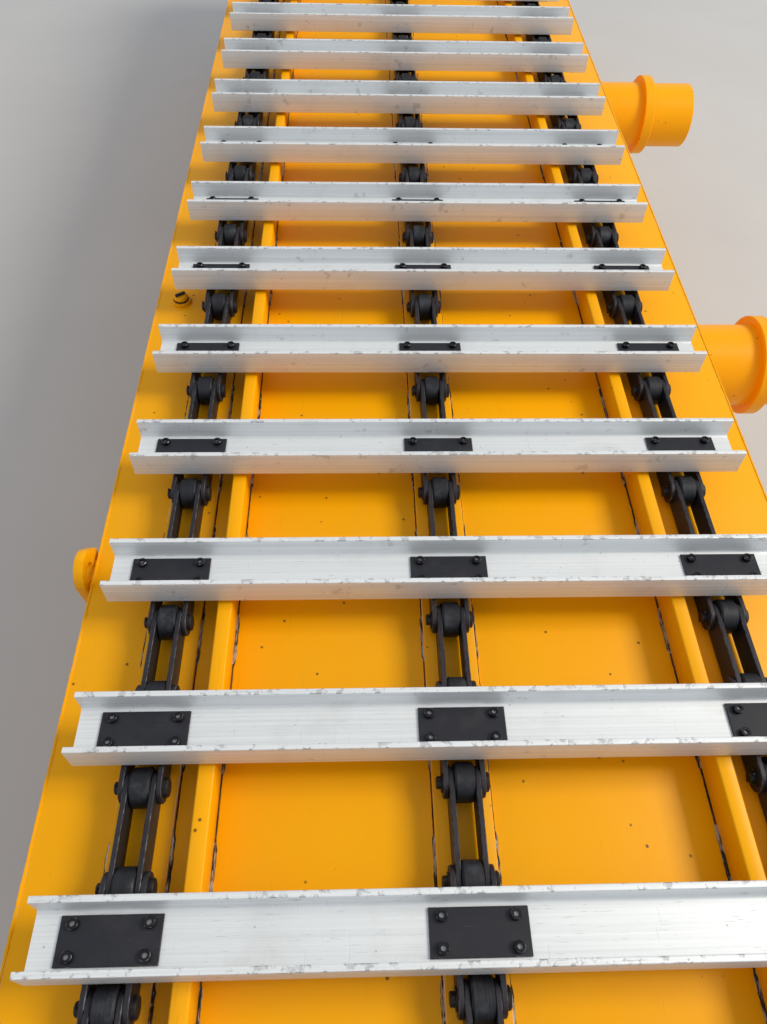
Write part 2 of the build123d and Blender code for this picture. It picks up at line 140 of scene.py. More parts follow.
# Scuffs, grain, turning lines and weld ripples are 0.2 to 2 mm fine on the real machine, and drawn
# at 2.4 to 8 mm here so that they show.
finishes = {
    # columns: slot, base colour, gloss, what the shader takes as it is, layers
    # sprayed machine enamel over steel plate: strong amber with a soft gloss, a faint orange peel,
    # a breath of dust, mud specks, hairline scuffs, chips along its edges, and pale lines along
    # the edges of the deck and the wear bars that are part scrapes and part painted highlight
    "amberEnamel": ("hull_paint", "#F4AC00", ("dust", 0.36, 0.54), {
        "IOR": 1.47, "Specular IOR Level": 0.18}, (
        ("buckle", patches, (520, 1, 0.2, 0.8), None, 3.0, 0.5),
        # orange peel is under 2 mm in the real paint, and drawn at 14 mm so that it shows
        ("peel", patches, (14, 2, 0.2, 0.8), None, 0.22, 0.3),
        ("deeper", patches, (900, 3, 0.35, 0.7), (0.6, "#EEA200")),
        ("dust", patches, (300, 8, 0.48, 0.8), (0.08, "#C0965A")),
        ("scuffs", streaks, ((4, 240, 240), 7, 0.68, 0.73), (0.3, "#B77A1C")),
        ("mud", specks, (55, 4.5, 0.7), (0.85, "#4E3B1E"), 1.0, 0.4),
        ("edgeWear", patches, (26, 4, 0.66, 0.69), (0.8, "#7A6048")),
        # pale lines on the marked edges: part scrapes, part painted highlight where the rounded edges catch
        # light
        ("scraped", streaks, ((7, 150, 7), 0, 0.52, 0.62), (0.6, "#DCD2C0")),
    )),
    # mill-finish extruded aluminium: pale grey with fine lines along the extrusion, smudged by
    # soil, with short dashes and crossing scratches, pits and bruised flange edges
    "drawnAluminium": ("cleat_aluminium", "#E6EAED", ("lines", 0.44, 0.56), {"Metallic": 0.35}, (
        # the lines are under 1 mm apart in the real metal, and drawn at 5 mm so that they show
        ("lines", streaks, ((1100, 5, 5), 0, 0.3, 0.7), (0.7, "#CCD1D5"), 0.14, 0.4),
        ("oxide", streaks, ((700, 16, 16), 0, 0.42, 0.7), (0.35, "#EDF1F4")),
        ("soil", patches, (150, 9, 0.54, 0.8), (0.22, "#8F8578")),
        ("scratches", streaks, ((3.5, 110, 110), 24, 0.68, 0.72), (0.25, "#77787B"), -0.3, 0.5),
        ("dashes", streaks, ((42, 3, 42), 1, 0.64, 0.7), (0.3, "#77787B"), -0.3, 0.5),
        ("pits", specks, (26, 2.6, 0.4), (0.5, "#77787B")),
        ("edgeWear", patches, (18, 4, 0.54, 0.62), (0.7, "#77787B"), -1.0, 0.6),
    )),
    # heat-treated, blackened chain steel: dark blue-black and slightly oily, rubbed bright on its
    # edges, with a breath of rust
    "blackenedSteel": ("chain_steel", "#2F2E34", ("scale", 0.4, 0.6), {"Metallic": 0.6}, (
        ("scale", patches, (60, 6, 0.3, 0.75), (0.5, "#46444A")),
        ("rust", patches, (34, 8, 0.62, 0.76), (0.4, "#55392A")),
        ("edgeWear", patches, (18, 4, 0.45, 0.65), (0.7, "#77787E")),
        ("grain", patches, (5, 4, 0, 1), None, 0.5, 0.3),
    )),
    # turned and hardened rollers: near black, matt, scored round by rolling, burnished in places
    "rollerSteel": ("chain_steel", "#27292E", ("burnish", 0.52, 0.28), {"Metallic": 0.6}, (
        ("turning", streaks, ((2.4, 300, 300), 0, 0.35, 0.7), (0.25, "#4A4C52"), 0.3, 0.4),
        ("burnish", patches, (40, 6, 0.52, 0.75), (0.5, "#63656B")),
    )),
    # hardened pins and their cotters: almost black, with thin brown rust on the sawn ends
    "darkPinSteel": ("chain_steel", "#26262B", ("rust", 0.42, 0.75), {"Metallic": 0.5}, (
        ("rust", patches, (16, 8, 0.52, 0.68), (0.55, "#55402F")),
        ("bloom", patches, (9, 6, 0.62, 0.72), (0.5, "#7E5C40")),
        ("grain", patches, (4, 5, 0, 1), None, 0.6, 0.5),
    )),
    # dark painted clamp plates: even blue-black with a low sheen, faint grain and rubbed rims
    "blackPlate": ("chain_steel", "#1E1F27", ("dust", 0.42, 0.6), {"IOR": 1.5, "Specular IOR Level": 0.4}, (
        ("dust", patches, (60, 7, 0.5, 0.8), (0.14, "#5C5B59")),
        ("scuffs", streaks, ((50, 5, 50), 12, 0.68, 0.73), (0.3, "#4C4E55")),
        ("edgeWear", patches, (12, 4, 0.55, 0.62), (0.6, "#7C7E83")),
        ("grain", patches, (6, 3, 0, 1), None, 0.3, 0.25),
    )),
    # oiled black-oxide fasteners: almost black, satin, with rubbed rims and a painted glint on each socket's
    # floor
    "blackOxide": ("chain_steel", "#1C1C20", ("oil", 0.3, 0.46), {"Metallic": 0.7}, (
        ("oil", patches, (20, 4, 0.35, 0.7), (1.0, "#2B2B2E")),
        ("edgeWear", patches, (8, 4, 0.5, 0.62), (0.6, "#85868B")),
        # painted glint: the socket floors are made pale
        ("socketFloor", None, (), (0.8, "#A2A4A8")),
        ("grain", patches, (3, 3, 0, 1), None, 0.2, 0.3),
    )),
    # zinc-plated bolts and washers: dull silver, slightly yellowed, with dirt in the corners
    "platedSteel": ("bare_steel", "#A9A79D", ("dirt", 0.36, 0.62), {"Metallic": 0.8}, (
        ("yellowed", patches, (30, 3, 0.4, 0.7), (0.3, "#8E8C84")),
        ("dirt", patches, (18, 6, 0.45, 0.72), (0.55, "#5B5346")),
        ("grain", patches, (4, 4, 0, 1), None, 0.3, 0.3),
    )),
    # flame-cut and cast wheels: dark grey-brown mill skin, coarse grain, rubbed teeth and rims
    "castSteel": ("wheel_steel", "#3B3C40", ("rust", 0.5, 0.8), {"Metallic": 0.55}, (
        ("skin", patches, (90, 7, 0.3, 0.75), (1.0, "#4E4A46")),
        ("rust", patches, (55, 8, 0.55, 0.72), (0.5, "#6B4A33")),
        ("edgeWear", patches, (30, 4, 0.35, 0.6), (0.9, "#8B8C90")),
        ("grain", patches, (7, 5, 0, 1), None, 0.9, 0.4),
    )),
    # machined shafts, slides and rods: silver-grey with turning lines under a brown film of grease
    "greasedSteel": ("bare_steel", "#9A9CA0", ("grease", 0.34, 0.5), {"Metallic": 0.9}, (
        ("turning", streaks, ((3, 300, 300), 0, 0.3, 0.7), (0.35, "#6F7277"), 0.2, 0.3),
        ("grease", patches, (80, 7, 0.42, 0.7), (0.7, "#4B4033")),
        ("edgeWear", patches, (15, 4, 0.4, 0.6), (0.8, "#C2C3C6")),
    )),
    # dark grey drive paint on castings: even satin over a sand-cast grain, dusty on top
    "graphiteEnamel": ("drive_paint", "#34363A", ("dust", 0.38, 0.64), {"IOR": 1.5}, (
        ("dust", patches, (130, 8, 0.42, 0.75), (0.35, "#7A7468")),
        ("edgeWear", patches, (18, 4, 0.56, 0.6), (0.8, "#8A8178")),
        ("grain", patches, (8, 4, 0, 1), None, 0.6, 0.3),
    )),
    # unpainted weld metal: rippled beads, dark with heat scale and silver where brushed
    "bareWeld": ("bare_steel", "#2A2523", ("brushed", 0.6, 0.34), {"Metallic": 0.6}, (
        ("brushed", streaks, ((5, 36, 5), 0, 0.46, 0.56), (0.9, "#B9BABD")),
        ("rust", patches, (30, 5, 0.55, 0.66), (0.6, "#6E4A28")),
        ("ripple", patches, (6, 2, 0.3, 0.7), None, 0.8, 0.6),
    )),
    # a near-black, dull, lumpy line along the corner at the foot of each bar, paler in streaks
    "darkCornerBead": ("bare_steel", "#2C2118", ("dry", 0.85, 0.95), {"Specular IOR Level": 0.2}, (
        ("dry", streaks, ((12, 60, 12), 0, 0.45, 0.7), (0.7, "#7A5A2E")),
        ("crumbs", patches, (5, 4, 0, 1), None, 1.0, 0.5),
    )),
    # smooth pale studio floor with the faintest clouding
    "paleFloor": (None, "#C0C1C2", ("cloud", 0.85, 0.95), {"Specular IOR Level": 0.3}, (
        ("cloud", patches, (900, 3, 0.3, 0.7), (0.4, "#B7B8BA"), 0.3, 0.1),
    )),
}
materials = {name: newMaterial(name, *values[1:]) for name, values in finishes.items()}
print("materials ready:", len(materials))


# Shapes

def nodeBox(node):
    # a CAD node's lowest and highest corners and its middle
    low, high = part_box(node)
    return low, high, [(a + b) / 2 for a, b in zip(low, high)]


def circle(radius, count, first=0):
    # places round a circle; first is the share of a step by which they are turned
    angles = [2 * pi * (k + first) / count for k in range(count)]
    return [(radius * cos(a), radius * sin(a)) for a in angles]


def roundedOutline(corners, steps=3):
    # closed outline from (u, v, radius) corners, each rounded by an arc of that radius
    points = []
    for index, (u, v, radius) in enumerate(corners):
        here = Vector((u, v))
        if radius == 0:
            points.append(here)
            continue
        before = (Vector(corners[index - 1][:2]) - here).normalized()
        after = (Vector(corners[(index + 1) % len(corners)][:2]) - here).normalized()
        half = before.angle(after) / 2
        centre = here + (before + after).normalized() * radius / sin(half)
        start = here + before * radius / tan(half) - centre
        end = here + after * radius / tan(half) - centre
        points += [centre + start.slerp(end, step / steps).normalized() * radius
                   for step in range(steps + 1)]
    return points


def boxOutline(lowY, highY, lowZ, highZ, radius=0, steps=3):
    corners = ((lowY, lowZ), (highY, lowZ), (highY, highZ), (lowY, highZ))
    return roundedOutline([(y, z, radius) for y, z in corners], steps)


def bridge(bm, one, two):
    # faces between two closed loops; a loop of one point is a pole
    faces = []
    count = max(len(one), len(two))
    for k in range(count):
        n = (k + 1) % count
        corners = (one[k % len(one)], one[n % len(one)], two[n % len(two)], two[k % len(two)])
        faces.append(bm.faces.new(list(dict.fromkeys(corners))))
    return faces


def addPrism(bm, outline, fromX, toX, hole=None):
    # plate between two places across, from an outline drawn in Y and Z; a hole has as many points
    loops = [[bm.verts.new((x, p[0], p[1])) for p in line]
             for x in (fromX, toX) for line in (outline, hole) if line]
    faces = [] if hole else [bm.faces.new(loop) for loop in loops]
    order = (0, 1, 3, 2, 0) if hole else (0, 1)
    for k in range(len(outline)):
        n = (k + 1) % len(outline)
        for one, two in zip(order, order[1:]):
            faces.append(bm.faces.new((loops[one][k], loops[one][n], loops[two][n], loops[two][k])))
    bmesh.ops.recalc_face_normals(bm, faces=faces)
    return faces


turns = {"Z": Matrix(), "X": Matrix.Rotation(pi / 2, 4, "Y"), "Y": Matrix.Rotation(-pi / 2, 4, "X")}


def addTurned(bm, profile, sides, centre=(0, 0, 0), axis="X", closed=False):
    # turned piece from (radius, along) points; a radius of 0 closes it on its axis, and a closed
    # profile comes back to its first point
    place = Matrix.Translation(centre) @ turns[axis]
    rings = [[bm.verts.new(place @ Vector((u, v, along)))
              for u, v in (circle(radius, sides) if radius else [(0, 0)])] for radius, along in profile]
    faces = []
    for one, two in zip(rings, rings[1:] + rings[:1] * closed):
        faces += bridge(bm, one, two)
    bmesh.ops.recalc_face_normals(bm, faces=faces)


def ease(bm, width, overDegrees, segments=2, mark="edgeWear"):
    # rounds the sharp edges a little and marks the new faces for the finish to wear
    layer = bm.faces.layers.float.get(mark) or bm.faces.layers.float.new(mark)
    sharp = [e for e in bm.edges if e.is_manifold and e.calc_face_angle(0) > radians(overDegrees)]
    result = bmesh.ops.bevel(bm, geom=sharp, offset=width, segments=segments, profile=0.5,
                             affect="EDGES", clamp_overlap=True)
    for face in result["faces"]:
        face[layer] = 1


def smoothed(mesh, degrees):
    # corners up to this many degrees are shaded smooth
    mesh.polygons.foreach_set("use_smooth", [True] * len(mesh.polygons))
    mesh.set_sharp_from_angle(angle=radians(degrees))
    return mesh


def meshFrom(bm):
    mesh = bpy.data.meshes.new("shape")
    bm.to_mesh(mesh)
    bm.free()
    return smoothed(mesh, 32)


def newObject(name, data):
    made = bpy.data.objects.new(name, data)
    scene.collection.objects.link(made)
    return made


def finishPiece(name, mesh, finish, *nodes, slotName=None):
    # puts a finished mesh in the scene, on the pontoon's body; it stands for these CAD nodes
    piece = newObject(name, mesh)
    mesh.name = name
    mesh.materials.clear()
    mesh.materials.append(materials[finish])
    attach(piece, "root")
    if nodes:
        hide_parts(*nodes)


# Geometry Nodes

def newTree(name, kind, labels):
    # a tree that takes guides, inputs of one kind and a material
    tree = bpy.data.node_groups.new(name, "GeometryNodeTree")
    sockets = [("Guides", "Geometry")] + [(label, kind) for label in labels] + [("Material", "Material")]
    for label, socketKind in sockets:
        tree.interface.new_socket(label, in_out="INPUT", socket_type="NodeSocket" + socketKind)
    tree.interface.new_socket("Geometry", in_out="OUTPUT", socket_type="NodeSocketGeometry")
    return tree, addNode(tree, "NodeGroupInput").outputs


def endTree(tree, inputs, shape):
    # every tree ends as real geometry with its material
    real = addNode(tree, "GeometryNodeRealizeInstances", links={"Geometry": shape})
    coloured = addNode(tree, "GeometryNodeSetMaterial", links={
        "Geometry": real.outputs["Geometry"], "Material": inputs["Material"]})
    addNode(tree, "NodeGroupOutput", links={"Geometry": coloured.outputs["Geometry"]})
    return tree


def onPoints(tree, inputs, shape):
    # the shape on each point, turned by the point's facing
    facing = addNode(tree, "GeometryNodeInputNamedAttribute", {"data_type": "FLOAT_VECTOR"}, {
        "Name": "facing"})
    turn = addNode(tree, "FunctionNodeEulerToRotation", links={"Euler": facing.outputs["Attribute"]})
    return addNode(tree, "GeometryNodeInstanceOnPoints", links={
        "Points": inputs["Guides"], "Instance": shape, "Rotation": turn.outputs["Rotation"]}).outputs[0]


def repeatTree():
    # one ready-made piece on every point
    tree, inputs = newTree("repeatOnPoints", "Object", ["Piece"])
    info = addNode(tree, "GeometryNodeObjectInfo", links={"Object": inputs["Piece"]})
    return endTree(tree, inputs, onPoints(tree, inputs, info.outputs["Geometry"]))


boltInputs = ("Head width", "Head height", "Washer diameter", "Washer thickness")


def boltTree():
    # hexagon head on a round washer, standing on its point
    tree, inputs = newTree("boltsOnPoints", "Float", boltInputs)
    joined = addNode(tree, "GeometryNodeJoinGeometry")
    for sides, size, divisor, height, foot in (
        (6, inputs["Head width"], 3 ** 0.5, inputs["Head height"], inputs["Washer thickness"]),
        (16, inputs["Washer diameter"], 2.0, inputs["Washer thickness"], 0.0),
    ):
        radius = addNode(tree, "ShaderNodeMath", {"operation": "DIVIDE"}, {0: size, 1: divisor})
        shape = addNode(tree, "GeometryNodeMeshCylinder", links={
            "Vertices": sides, "Radius": radius.outputs[0], "Depth": height})
        lift = addNode(tree, "ShaderNodeMath", {"operation": "MULTIPLY_ADD"}, {0: height, 1: 0.5, 2: foot})
        place = addNode(tree, "ShaderNodeCombineXYZ", links={2: lift.outputs[0]})
        part = addNode(tree, "GeometryNodeTransform", links={
            "Geometry": shape.outputs["Mesh"], "Translation": place.outputs[0]})
        tree.links.new(part.outputs["Geometry"], joined.inputs[0])
    return endTree(tree, inputs, onPoints(tree, inputs, joined.outputs[0]))


def beadTree():
    # weld beads along drawn lines: they swell and pinch at each ripple and taper at their ends
    tree, inputs = newTree("beadsOnLines", "Float", ["Bead width", "Ripple length", "Ripple depth"])
    width = inputs["Bead width"]
    lines = addNode(tree, "GeometryNodeMeshToCurve", links={"Mesh": inputs["Guides"]})
    steps = addNode(tree, "GeometryNodeResampleCurve", {"mode": "LENGTH"}, {
        "Curve": lines.outputs["Curve"], "Length": inputs["Ripple length"]})
    # the distance to the nearer end thins the bead there
    along = addNode(tree, "GeometryNodeSplineParameter").outputs["Length"]
    whole = addNode(tree, "GeometryNodeSplineLength").outputs["Length"]
    rest = addNode(tree, "ShaderNodeMath", {"operation": "SUBTRACT"}, {0: whole, 1: along})
    near = addNode(tree, "ShaderNodeMath", {"operation": "MINIMUM"}, {0: along, 1: rest.outputs[0]})
    taper = addNode(tree, "ShaderNodeMapRange", links={0: near.outputs[0], 2: width, 3: 0.4, 4: 1.0})
    waves = addNode(tree, "ShaderNodeTexNoise", links={"Scale": 150, "Detail": 1})   # every 7 mm or so
    thin, thick = [addNode(tree, "ShaderNodeMath", {"operation": change}, {0: 1.0, 1: inputs["Ripple depth"]})
                   for change in ("SUBTRACT", "ADD")]
    swell = addNode(tree, "ShaderNodeMapRange", links={
        0: waves.outputs["Fac"], 1: 0.35, 2: 0.65, 3: thin.outputs[0], 4: thick.outputs[0]})
    scale = addNode(tree, "ShaderNodeMath", {"operation": "MULTIPLY"}, {
        0: taper.outputs[0], 1: swell.outputs[0]})
    radius = addNode(tree, "ShaderNodeMath", {"operation": "DIVIDE"}, {0: width, 1: 2.0})
    ring = addNode(tree, "GeometryNodeCurvePrimitiveCircle", links={
        "Resolution": 6, "Radius": radius.outputs[0]})
    beads = addNode(tree, "GeometryNodeCurveToMesh", links={
        "Curve": steps.outputs["Curve"], "Profile Curve": ring.outputs["Curve"],
        "Scale": scale.outputs[0], "Fill Caps": True})
    return endTree(tree, inputs, beads.outputs["Mesh"])


def pointMesh(places):
    # vertices with the angles that each instance is turned by; a place is (position, angles)
    mesh = bpy.data.meshes.new("points")
    mesh.from_pydata([tuple(position) for position, angles in places], [], [])
    facing = mesh.attributes.new("facing", "FLOAT_VECTOR", "POINT")
    facing.data.foreach_set("vector", [angle for position, angles in places for angle in angles])
    return mesh


def lineMesh(lines):
    # each line is a list of places, joined in turn
    points, edges = [], []
    for line in lines:
        edges += [(len(points) + k, len(points) + k + 1) for k in range(len(line) - 1)]
        points += [tuple(place) for place in line]
    mesh = bpy.data.meshes.new("lines")
    mesh.from_pydata(points, edges, [])
    return mesh


def growPiece(name, tree, guides, values, finish, *nodes):
    # runs a tree on its points or lines and finishes the result as a plain mesh
    maker = newObject(name, guides)
    modifier = maker.modifiers.new("grow", "NODES")
    modifier.node_group = tree
    values["Material"] = materials[finish]
    for socket in tree.interface.items_tree:
        if socket.in_out == "INPUT" and socket.name in values:
            modifier[socket.identifier] = values[socket.name]
    graph = bpy.context.evaluated_depsgraph_get()
    mesh = bpy.data.meshes.new_from_object(maker.evaluated_get(graph), depsgraph=graph)
    bpy.data.objects.remove(maker)
    finishPiece(name, smoothed(mesh, 38), finish, *nodes)


repeatPieces = repeatTree()
boltPieces = boltTree()
beadPieces = beadTree()
patterns = []


def pattern(bm):
    # a ready-made piece for a tree to repeat, deleted at the end
    patterns.append(newObject("pattern", meshFrom(bm)))
    return patterns[-1]


def repeated(name, piece, places, finish, *nodes):
    growPiece(name, repeatPieces, pointMesh(places), {"Piece": piece}, finish, *nodes)


# The chain's path, worked out from the frame

trackValues = {
    "pitch": 0.190, "linksPerCleat": 2, "plateEnvelope": 0.080,
    "sprocketTeeth": 14, "rakeDegrees": 35, "bendRadius": 1.0,
}
pitch, bend = trackValues["pitch"], trackValues["bendRadius"]
seat = trackValues["plateEnvelope"] / 2   # from the pitch line to the cleats
rake = radians(trackValues["rakeDegrees"])
strands = ("left", "centre", "right")
strandX = {strand: nodeBox("chain_" + strand)[2][0] for strand in strands}
low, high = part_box("chain_right")
pitchBottom, pitchTop = low.z + seat, high.z - seat
wheelRadius = trackValues["sprocketTeeth"] * pitch / (2 * pi)
wheelY, wheelZ = nodeBox("idler_shaft")[2][1:]
low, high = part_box("deck_plate")
deckTop, deckEnd = high.z, high.y
hullLeft, hullRight = low.x, high.x

rakeDrop = wheelZ - wheelRadius * cos(rake) - pitchBottom
rakeRun = rakeDrop / sin(rake) - bend * tan(rake / 2)
rakeReach = rakeDrop / tan(rake) + bend * tan(rake / 2) - wheelRadius * sin(rake)
endRuns = (
    # length, bend radius
    (wheelY, 0),
    ((pi - rake) * wheelRadius, wheelRadius),
    (rakeRun, 0),
    (rake * bend, bend),
)
pathRuns = endRuns + ((2 * (wheelY - rakeReach), 0),) + endRuns[::-1]
loopLength = sum(length for length, radius in pathRuns)
cleatCount = round(loopLength / (trackValues["linksPerCleat"] * pitch))


def pitchPoint(distance):
    # place on the pitch line, walked from the middle of the deck towards +Y and down
    y, z, heading = 0.0, pitchTop, 0.0
    left = distance % loopLength
    for length, radius in pathRuns:
        step = min(left, length)
        if radius:
            turn = step / radius
            y += radius * (sin(heading + turn) - sin(heading))
            z += radius * (cos(heading + turn) - cos(heading))
            heading += turn
        else:
            y += step * cos(heading)
            z -= step * sin(heading)
        left -= step
    return y, z


def linkPlaces(x, offset):
    # middles of every second link, turned so that Y runs along the chain and Z points outward
    places = []
    for k in range(cleatCount):
        middle = (trackValues["linksPerCleat"] * k + offset) * pitch
        (ya, za), (yb, zb) = [pitchPoint(middle + side * pitch / 2) for side in (-1, 1)]
        places.append(((x, (ya + yb) / 2, (za + zb) / 2), (atan2(zb - za, yb - ya), 0, 0)))
    return places


def shifted(places, x, y, z):
    # the same places moved by a distance in each place's own directions
    return [(Vector(p) + Euler(a).to_matrix() @ Vector((x, y, z)), a) for p, a in places]


def spun(places, seed):
    # the same places, each turned by chance about its own axis, as tightened bolts are
    chance = random.Random(seed)
    return [(p, (Euler(a).to_matrix() @ Matrix.Rotation(chance.uniform(0, pi / 3), 3, "Z")).to_euler())
            for p, a in places]


print("track has", cleatCount, "cleats over", round(loopLength, 2), "m")


# Chain

chainValues = {
    "plateHeight": 0.063, "plateThickness": 0.0104, "plateEdge": 0.0016, "plateGap": 0.0004,
    "endRound": (0.99, 4),   # share of half a plate's height, and the steps of each corner
    "outerReach": 0.0424, "attachmentWidth": 0.082, "attachmentLength": 0.178,
    "rollerDiameter": 0.080, "rollerWidth": 0.0408, "rollerEdge": 0.004, "rollerSides": 24,
    "pinDiameter": 0.026, "pinEnd": 0.010, "pinEdge": 0.002,
    "headDiameter": 0.040, "headHeight": 0.009, "washerThickness": 0.003, "cotterDiameter": 0.0055,
    "pinSides": (14, 12, 5),   # head, washer end and cotter
}


def linkPlates(reach, withAttachment):
    # a pair of round-ended link plates, with the flat plate across them that carries a cleat
    v = chainValues
    half = v["plateHeight"] / 2
    length = pitch / 2 + half
    share, steps = v["endRound"]
    bm = bmesh.new()
    for side in (-1, 1):
        addPrism(bm, boxOutline(-length, length, -half, half, half * share, steps),
                 side * reach, side * (reach - v["plateThickness"]))
    if withAttachment:
        w, a = v["attachmentWidth"] / 2, v["attachmentLength"] / 2
        addPrism(bm, boxOutline(-w, w, half, v["rollerDiameter"] / 2), -a, a)
    ease(bm, v["plateEdge"], 40, 1)
    return bm


def rollers():
    v = chainValues
    radius, half, edge = v["rollerDiameter"] / 2, v["rollerWidth"] / 2, v["rollerEdge"]
    bm = bmesh.new()
    for side in (-1, 1):
        addTurned(bm, ((0, -half), (radius - edge, -half), (radius, edge - half), (radius, half - edge),
                       (radius - edge, half), (0, half)), v["rollerSides"], (0, side * pitch / 2, 0))
    return bm


def pin():
    # across the link: a round-shouldered head at one end, a washer and a cotter at the other
    v = chainValues
    head, radius, cotter = v["headDiameter"] / 2, v["pinDiameter"] / 2, v["cotterDiameter"] / 2
    foot, edge = v["outerReach"], v["pinEdge"]
    top, washer = foot + v["headHeight"], -foot - v["washerThickness"]
    end = washer - v["pinEnd"]
    headSides, endSides, cotterSides = v["pinSides"]
    bm = bmesh.new()
    addTurned(bm, ((head, foot), (head, top - edge), (head - edge, top), (0, top)), headSides)
    addTurned(bm, ((head, -foot), (head, washer), (radius, washer), (radius, end + edge),
                   (radius - edge, end), (0, end)), endSides)
    addTurned(bm, ((0, -head), (cotter, -head), (cotter, head), (0, head)), cotterSides,
              (washer - v["pinEnd"] / 2, 0, 0), "Z")
    return bm


outerLink = pattern(linkPlates(chainValues["outerReach"], True))
innerReach = chainValues["outerReach"] - chainValues["plateThickness"] - chainValues["plateGap"]
innerLink = pattern(linkPlates(innerReach, False))
rollerPair = pattern(rollers())
chainPin = pattern(pin())
for strand in strands:
    carriers, between = [linkPlaces(strandX[strand], offset) for offset in (1, 2)]
    pins = [place for side in (-1, 1) for place in shifted(carriers, 0, side * pitch / 2, 0)]
    chainNode = "chain_" + strand
    repeated("chainCarrierLinks." + strand, outerLink, carriers, "blackenedSteel", chainNode)
    repeated("chainPlainLinks." + strand, innerLink, between, "blackenedSteel", chainNode)
    repeated("chainRollers." + strand, rollerPair, between, "rollerSteel", chainNode)
    repeated("chainPins." + strand, chainPin, pins, "darkPinSteel")
print("chains made")


# Cleats with their clamp plates and screws

cleatValues = {
    "width": 0.127, "depth": 0.070, "web": 0.016, "flange": 0.012,
    "fillet": 0.007, "edge": 0.002, "tipWear": 0.55,
    "clampLength": 0.178, "clampWidth": 0.082, "clampThickness": 0.005, "clampEdge": 0.001,
    "screwSpacing": (0.132, 0.052), "screwDiameter": 0.021, "screwHeight": 0.010,
    "screwEdge": 0.0016, "screwSides": 18, "socketWidth": 0.009, "socketDepth": 0.0045,
}
floor = seat + cleatValues["web"]
clampTop = floor + cleatValues["clampThickness"]


def channel():
    # one length of channel with its flanges outward
    v = cleatValues
    low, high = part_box("cleats")
    half, tip, edge = v["width"] / 2, seat + v["depth"], v["edge"]
    inner = half - v["flange"]
    bm = bmesh.new()
    layer = bm.faces.layers.float.new("edgeWear")
    for face in addPrism(bm, roundedOutline([
            (-half, seat, edge), (half, seat, edge), (half, tip, edge), (inner, tip, edge),
            (inner, floor, v["fillet"]), (-inner, floor, v["fillet"]), (-inner, tip, edge),
            (-half, tip, edge)], 4), low.x, high.x)[2:]:
        # the flanges' rounded corners are what gets bruised, and their flat tips less so
        height = face.calc_center_median().z
        if height > floor + v["fillet"] and min(side.calc_length() for side in face.edges) < edge:
            face[layer] = 1
        elif height > tip - 0.0001:
            face[layer] = v["tipWear"]
    return bm


def clamp():
    v = cleatValues
    w, a = v["clampWidth"] / 2, v["clampLength"] / 2
    bm = bmesh.new()
    addPrism(bm, boxOutline(-w, w, floor, clampTop), -a, a)
    ease(bm, v["clampEdge"], 40, 1)
    return bm


def screw():
    # socket-head screw: chamfered rim and a hexagon socket
    v = cleatValues
    radius, height, edge, sides = v["screwDiameter"] / 2, v["screwHeight"], v["screwEdge"], v["screwSides"]
    hexRadius = v["socketWidth"] / 3 ** 0.5
    bm = bmesh.new()
    layer = bm.faces.layers.float.new("edgeWear")
    glintLayer = bm.faces.layers.float.new("socketFloor")
    foot, side, rim, mouth, well = [[bm.verts.new((x, y, z)) for x, y in circle(ring, count)]
                                    for ring, z, count in (
        (radius, 0, sides),
        (radius, height - edge, sides),
        (radius - edge, height, sides),
        (hexRadius, height, 6),
        (hexRadius, height - v["socketDepth"], 6),
    )]
    bridge(bm, foot, side)
    for face in bridge(bm, side, rim):
        face[layer] = 1
    for corner in range(6):
        after = (corner + 1) % 6
        span = [rim[(3 * corner + k) % sides] for k in range(4)]
        bm.faces.new((mouth[corner], span[0], span[1], span[2]))
        bm.faces.new((mouth[corner], span[2], span[3], mouth[after]))
        bm.faces.new((mouth[corner], mouth[after], well[after], well[corner]))
    # the socket's floor carries the painted glint
    bm.faces.new(well)[glintLayer] = 1
    return bm


cleat = pattern(channel())
clampPlate = pattern(clamp())
socketScrew = pattern(screw())
repeated("cleatChannels", cleat, linkPlaces(0, 1), "drawnAluminium", "cleats")
across, lengthwise = [spacing / 2 for spacing in cleatValues["screwSpacing"]]
for strand in strands:
    places = linkPlaces(strandX[strand], 1)
    spots = []
    for x, y in ((-1, -1), (1, -1), (-1, 1), (1, 1)):
        spots += shifted(places, x * across, y * lengthwise, clampTop)
    repeated("clampPlates." + strand, clampPlate, places, "blackPlate")
    repeated("clampScrews." + strand, socketScrew, spun(spots, 21), "blackOxide")
print("cleats made")


# Steelwork: the CAD nodes' own shapes with their sharp edges rounded

easedNodes = (
    # rounding, what the edges carry, finish, nodes
    # the deck's and wear bars' rounded edges get pale lines, part scrapes and part painted highlight
    (0.004, "scraped", "amberEnamel", "deck_plate"),
    (0.004, "edgeWear", "amberEnamel", "rail_left", "rail_right"),
    (0.002, "scraped", "amberEnamel", "wear_bar_left", "wear_bar_centre", "wear_bar_right"),
    (0.002, "edgeWear", "amberEnamel", "side_plate_outer", "side_plate_inner"),
    (0.008, "edgeWear", "amberEnamel", "cross_ties"),
    (0.003, "edgeWear", "amberEnamel", "tube_pads", "side_covers"),
    (0.002, "edgeWear", "castSteel", "sprockets"),
    (0.003, "edgeWear", "castSteel", "idlers"),
    (0.003, "edgeWear", "greasedSteel", "slide_blocks"),
    (0.005, "edgeWear", "graphiteEnamel", "drive_motor"),
)
movedAcross = {"rail_left": 0.018}   # this rail stands a little farther from its chain than the other
